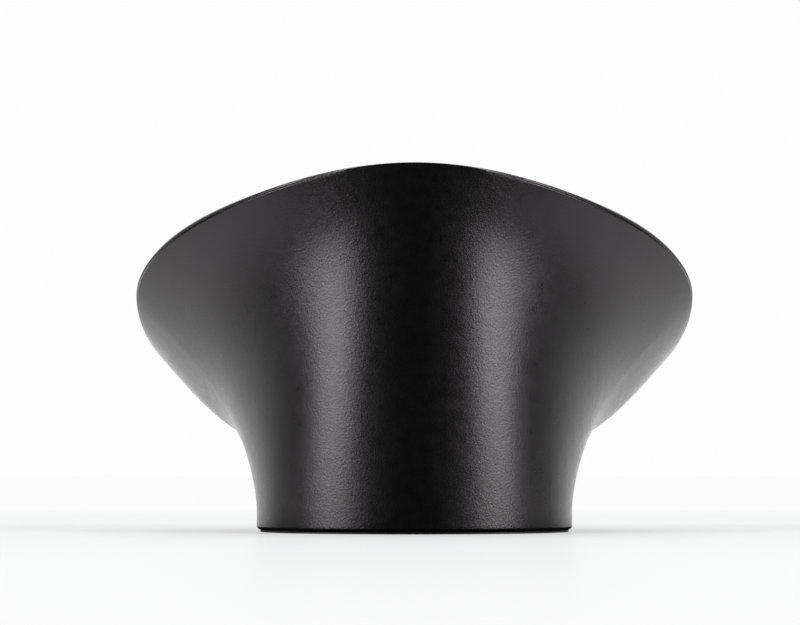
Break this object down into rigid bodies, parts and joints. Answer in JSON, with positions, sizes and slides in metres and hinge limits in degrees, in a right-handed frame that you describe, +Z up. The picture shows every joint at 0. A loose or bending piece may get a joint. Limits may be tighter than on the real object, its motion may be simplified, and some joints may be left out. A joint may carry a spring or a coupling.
{
  "type": "hair dryer diffuser",
  "caption": "Matte black angled diffuser: a round swivel coupling neck opening into a wide tilted mouth with a vented grille and hollow air fingers.",
  "frame": {"origin": "centre of the coupling's contact face, on the surface the part stands on", "axes": "+Z up the neck's axis, -Y the straight spine side, +Y the side the mouth leans to, +X to the right seen from the spine side"},
  "size_m": [0.1282, 0.1078, 0.0785],
  "materials": {
    "shell_black": "fine grained matte black moulding",
    "inner_black": "satin black moulding",
    "collar_black": "satin black moulding",
    "soft_black": "matte black silicone",
    "tip_silicone": "soft touch dark grey silicone",
    "screw_steel": "zinc plated",
    "spring_steel": "plain spring steel",
    "magnet_nickel": "nickel plated",
    "plain_steel": "plain steel",
    "washer_white": "natural PTFE"
  },
  "bodies": {
    "coupling": {"coupling_ring": "collar_black", "magnet_carrier": "inner_black", "magnets": "magnet_nickel", "magnet_backing": "plain_steel", "contact_gasket": "soft_black", "glide_washer": "washer_white"},
    "head": {"outer_shell": "shell_black", "front_grille": "inner_black", "grille_seal": "soft_black", "air_fingers": "inner_black", "finger_tips": "tip_silicone", "air_deflector": "inner_black", "grille_screws": "screw_steel", "deflector_screws": "screw_steel", "retaining_clip": "spring_steel"}
  },
  "joints": [
    {"name": "head_swivel", "type": "hinge", "parent": "coupling", "child": "head", "pos_m": [0, 0, 0.008], "axis": [0, 0, 1], "continuous": true}
  ]
}
